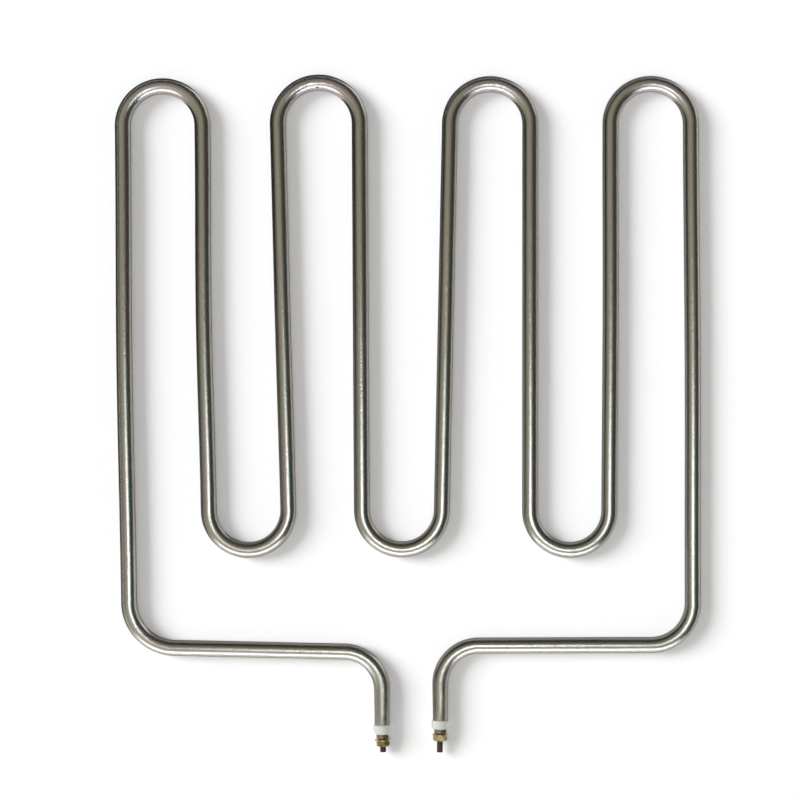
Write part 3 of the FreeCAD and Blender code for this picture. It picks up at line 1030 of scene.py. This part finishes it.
for name, (low, turn, wide, power, shadow) in LAMPS.items():
    lamp = bpy.data.objects.new(name, bpy.data.lights.new(name, "SUN"))
    bpy.context.scene.collection.objects.link(lamp)
    lamp.data.energy = power
    lamp.data.color = DAYLIGHT
    lamp.data.angle = math.radians(wide)
    lamp.data.use_shadow = shadow
    lamp.rotation_euler = (0, math.radians(low), math.radians(turn))
    lamp.visible_glossy = False
print("Lamps:", list(LAMPS))

# %% [markdown]
# ## The panels that the steel mirrors
#
# Bare steel has little colour of its own and looks like what it mirrors. Along each leg the
# photograph shows a streak of light that is strongest at the terminals' end and fades before the far
# bends. A light far away would make it the same all along. So three panels hang near, over the
# terminals' side, where the far ends of the legs can't mirror them. A wide panel stands further out
# on the same side, for the highlights of the cross runs and the far bends. The panels light only
# what mirrors them, and the camera doesn't see them.
#
# An area light looks as bright as a world of strength 1 when it has 4 W for each square metre.

# %% Hang the panels
PANELS = {
    # name: place, tilt about X in degrees, width, length, brightness, colour
    "middle_panel": ((0.04, -0.14, 0.85), 0, 0.26, 0.20, 3.5, (0.94, 1.0, 1.15)),
    "left_panel": ((-0.20, -0.14, 0.85), 0, 0.22, 0.20, 0.45, (1.0, 0.7, 1.12)),
    "right_panel": ((0.26, -0.14, 0.85), 0, 0.18, 0.20, 1.2, (0.4, 1.0, 1.0)),
    "far_panel": ((-0.2, -1.6, 0.72), 90, 3.0, 0.95, 1.9, (0.95, 1.0, 1.15)),
}
WATTS_A_SQUARE_METRE = 4

for name, (place, tilt, wide, long, bright, colour) in PANELS.items():
    panel = bpy.data.objects.new(name, bpy.data.lights.new(name, "AREA"))
    bpy.context.scene.collection.objects.link(panel)
    panel.location = place
    panel.rotation_euler = (math.radians(tilt), 0, 0)
    panel.data.shape = "RECTANGLE"
    panel.data.size, panel.data.size_y = wide, long
    panel.data.energy = WATTS_A_SQUARE_METRE * wide * long * bright
    panel.data.color = colour
    panel.visible_camera = False
    panel.visible_diffuse = False
print("Panels:", list(PANELS))

# %% [markdown]
# ## The room
#
# Round the panels is a dark room, for the steel's middle tones. A picture of a real room on the world
# would do, but none can be tuned as easily as a few ranges of angles. So the world is drawn by
# direction: it is dim all round, with a warm light overhead that fades to the right, a wall on the
# left, and a fainter one at the terminals' side.

# %% Light the room
class Room(NodeSheet):
    """The world as a dark room with patches of light, each over a range of directions."""

    def __init__(self, name, dark):
        world = bpy.data.worlds.new(name)
        bpy.context.scene.world = world
        world.use_nodes = True
        super().__init__(world.node_tree)
        self.background = self.nodes["Background"]
        self.light = dark
        way = self.node("ShaderNodeTexCoord").outputs["Generated"]
        x, y, z = self.node("ShaderNodeSeparateXYZ", {"Vector": way}).outputs
        self.tilt_x = self.sum("DEGREES", self.sum("ARCTAN2", x, z))
        self.tilt_y = self.sum("DEGREES", self.sum("ARCTAN2", y, z))
        self.from_zenith = self.sum("DEGREES", self.sum("ARCCOSINE", z))
        self.bearing = self.sum("DEGREES", self.sum("ARCTAN2", y, x))
        self.along = y

    def within(self, value, low, high, soft, soft_high=None):
        """1 while a value is between low and high, falling to 0 over soft at each side."""
        soft_high = soft_high or soft
        return self.sum("MULTIPLY", self.rise(value, low - soft / 2, low + soft / 2),
                        self.rise(value, high - soft_high / 2, high + soft_high / 2, to=(1.0, 0.0)))

    def patch(self, colour, first, second):
        """Add light of a colour where two values are each within their range."""
        where = self.sum("MULTIPLY", self.within(*first), self.within(*second))
        self.light = self.mix(where, self.light, (*colour, 1), blend="ADD")

    def finish(self):
        """Feed the sum of the patches to the world."""
        self.link(self.light, self.background.inputs["Color"])


DIM = (0.062, 0.058, 0.055, 1)
OVERHEAD = (0.315, 0.30, 0.255)
LEFT_WALL = (0.32, 0.31, 0.28)
NEAR_WALL = (0.12, 0.12, 0.12)

room = Room("room", DIM)
room.patch(OVERHEAD, (room.tilt_x, -57, 19, 24, 64), (room.tilt_y, -60, 38, 40))
room.patch(LEFT_WALL, (room.tilt_x, -115, -62, 20), (room.along, -3, -0.04, 0.1, 0.26))
room.patch(NEAR_WALL, (room.bearing, -160, -46, 16), (room.from_zenith, 12, 86, 12))
room.finish()
bpy.context.scene.view_settings.view_transform = "Standard"
print("Nodes in the room:", len(room.nodes))
